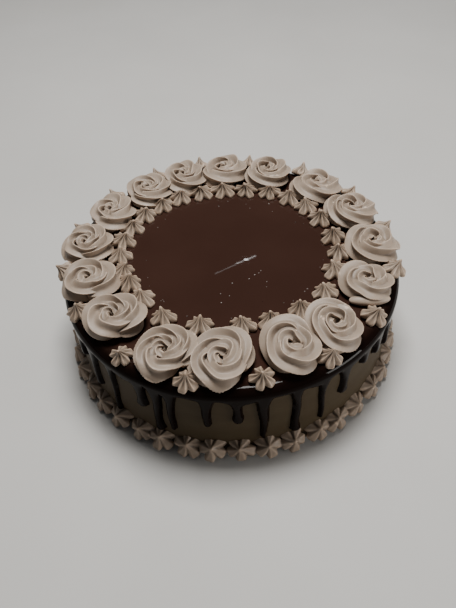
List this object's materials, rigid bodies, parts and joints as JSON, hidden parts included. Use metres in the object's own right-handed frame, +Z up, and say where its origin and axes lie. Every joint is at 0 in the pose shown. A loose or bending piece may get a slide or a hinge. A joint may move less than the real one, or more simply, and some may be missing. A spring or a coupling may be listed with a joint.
{
  "type": "chocolate cake",
  "caption": "Round frosted chocolate cake with a glossy dripping chocolate glaze, a ring of piped cream roses, small piped stars and a piped border round its foot.",
  "frame": {"origin": "centre of the cake's flat base, on the surface it stands on", "axes": "+Z up through the middle of the cake, -Y towards the side that the picture shows in front"},
  "size_m": [0.1969, 0.1973, 0.0679],
  "materials": {
    "frosting": "satin",
    "glaze": "gloss",
    "rose_cream": "satin",
    "star_cream": "satin",
    "border_cream": "satin"
  },
  "bodies": {
    "root": {"cake_body": "frosting", "ganache": "glaze", "base_border": "border_cream", "rose_01": "rose_cream", "rose_02": "rose_cream", "rose_03": "rose_cream", "rose_04": "rose_cream", "rose_05": "rose_cream", "rose_06": "rose_cream", "rose_07": "rose_cream", "rose_08": "rose_cream", "rose_09": "rose_cream", "rose_10": "rose_cream", "rose_11": "rose_cream", "rose_12": "rose_cream", "rose_13": "rose_cream", "rose_14": "rose_cream", "rose_15": "rose_cream", "rose_16": "rose_cream", "inner_star_01": "star_cream", "inner_star_02": "star_cream", "inner_star_03": "star_cream", "inner_star_04": "star_cream", "inner_star_05": "star_cream", "inner_star_06": "star_cream", "inner_star_07": "star_cream", "inner_star_08": "star_cream", "inner_star_09": "star_cream", "inner_star_10": "star_cream", "inner_star_11": "star_cream", "inner_star_12": "star_cream", "inner_star_13": "star_cream", "inner_star_14": "star_cream", "inner_star_15": "star_cream", "inner_star_16": "star_cream", "inner_star_17": "star_cream", "inner_star_18": "star_cream", "inner_star_19": "star_cream", "inner_star_20": "star_cream", "inner_star_21": "star_cream", "inner_star_22": "star_cream", "inner_star_23": "star_cream", "inner_star_24": "star_cream", "inner_star_25": "star_cream", "outer_star_01": "star_cream", "outer_star_02": "star_cream", "outer_star_03": "star_cream", "outer_star_04": "star_cream", "outer_star_05": "star_cream", "outer_star_06": "star_cream", "outer_star_07": "star_cream", "outer_star_08": "star_cream", "outer_star_09": "star_cream", "outer_star_10": "star_cream", "outer_star_11": "star_cream", "outer_star_12": "star_cream", "outer_star_13": "star_cream", "outer_star_14": "star_cream", "outer_star_15": "star_cream", "outer_star_16": "star_cream"}
  },
  "joints": []
}
